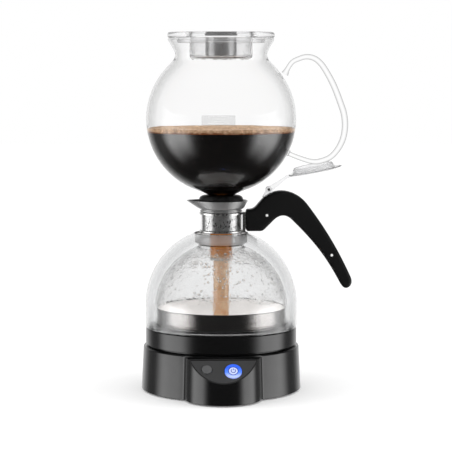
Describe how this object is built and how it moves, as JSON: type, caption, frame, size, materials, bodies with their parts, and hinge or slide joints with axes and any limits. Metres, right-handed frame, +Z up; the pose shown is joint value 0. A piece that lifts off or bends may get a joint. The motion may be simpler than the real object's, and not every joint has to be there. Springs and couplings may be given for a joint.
{
  "type": "electric vacuum coffee brewer",
  "caption": "Siphon coffee maker: glass funnel with rod handle and lid over a double-walled carafe with a pouring collar and flip lid, on a powered base with push buttons.",
  "frame": {"origin": "on the vessel's upright axis at the centre of the base's underside hub, level with the table to within a millimetre", "axes": "+Z up, -Y towards the control panel, +X towards the carafe and glass handles"},
  "size_m": [0.2339, 0.2038, 0.3958],
  "materials": {
    "black_plastic": "satin black moulded",
    "panel_grey": "fine matt grey",
    "clear_plastic": "clear polished",
    "glass": "clear borosilicate",
    "steel": "brushed stainless",
    "silicone": "matt black silicone",
    "pale_silicone": "translucent white",
    "cloth": "woven filter cloth",
    "brass": "plain",
    "circuit_board": "solder resist",
    "blue_light": "lit translucent blue",
    "white_cap": "lit translucent white"
  },
  "bodies": {
    "base": {"base_housing": "black_plastic", "base_cover": "black_plastic", "base_foot_1": "silicone", "base_foot_2": "silicone", "base_foot_3": "silicone", "base_foot_4": "silicone", "base_screw_1": "steel", "base_screw_2": "steel", "base_screw_3": "steel", "base_screw_4": "steel", "cord_gland": "silicone", "control_panel": "panel_grey", "panel_board": "circuit_board", "power_switch": "silicone", "warm_switch": "silicone", "power_board": "circuit_board", "power_relay": "black_plastic", "base_connector": "black_plastic", "connector_pin": "brass", "connector_ring": "brass"},
    "power_button": {"power_button_ring": "blue_light", "power_button_cap": "white_cap"},
    "warm_button": {"warm_button": "panel_grey"},
    "carafe": {"carafe_ring": "black_plastic", "carafe_underplate": "black_plastic", "carafe_socket": "black_plastic", "socket_contact": "brass", "heating_element": "steel", "heat_spreader": "steel", "thermostat": "steel", "heater_pot": "steel", "pot_seal": "silicone", "inner_vessel": "clear_plastic", "vessel_neck": "clear_plastic", "neck_ring": "clear_plastic", "outer_dome": "clear_plastic", "spout_collar": "steel", "handle_strap": "steel", "handle_shell_rear": "black_plastic", "handle_shell_front": "black_plastic", "handle_pin_1": "steel", "handle_pin_2": "steel", "lid_bracket": "clear_plastic", "lid_hinge_pin": "steel"},
    "flip_lid": {"flip_lid": "clear_plastic"},
    "funnel": {"funnel_bowl": "glass", "funnel_tube": "glass", "funnel_rim": "glass", "funnel_handle": "glass", "funnel_gasket": "silicone", "stem_bush": "pale_silicone", "funnel_stem": "glass"},
    "filter": {"filter_plate": "black_plastic", "filter_cloth": "cloth", "filter_spring": "steel", "filter_wire": "steel", "filter_bead": "steel"},
    "bowl_lid": {"lid_shell": "clear_plastic", "lid_knob": "steel", "lid_cap": "silicone"}
  },
  "joints": [
    {"name": "power_press", "type": "slide", "parent": "base", "child": "power_button", "axis": [0, 0.6767, -0.7363], "range_m": [0, 0.0015], "stiffness_N_per_m": 400, "springref_m": -0.001},
    {"name": "warm_press", "type": "slide", "parent": "base", "child": "warm_button", "axis": [0, 0.6767, -0.7363], "range_m": [0, 0.0015], "stiffness_N_per_m": 400, "springref_m": -0.001},
    {"name": "carafe_lift", "type": "slide", "parent": "base", "child": "carafe", "axis": [0, 0, 1], "range_m": [0, 0.1]},
    {"name": "funnel_lift", "type": "slide", "parent": "carafe", "child": "funnel", "axis": [0, 0, 1], "range_m": [0, 0.45]},
    {"name": "flip_lid_turn", "type": "hinge", "parent": "carafe", "child": "flip_lid", "pos_m": [0.0528, 0, 0.2226], "axis": [0, -1, 0], "range_deg": [0, 169.2]},
    {"name": "filter_lift", "type": "slide", "parent": "funnel", "child": "filter", "axis": [0, 0, 1], "range_m": [0, 0.1]},
    {"name": "lid_lift", "type": "slide", "parent": "funnel", "child": "bowl_lid", "axis": [0, 0, 1], "range_m": [0, 0.08]}
  ],
  "couplings": [
    {"joint": "flip_lid_turn", "follows": "funnel_lift", "rad_per_m": 6.5586}
  ]
}
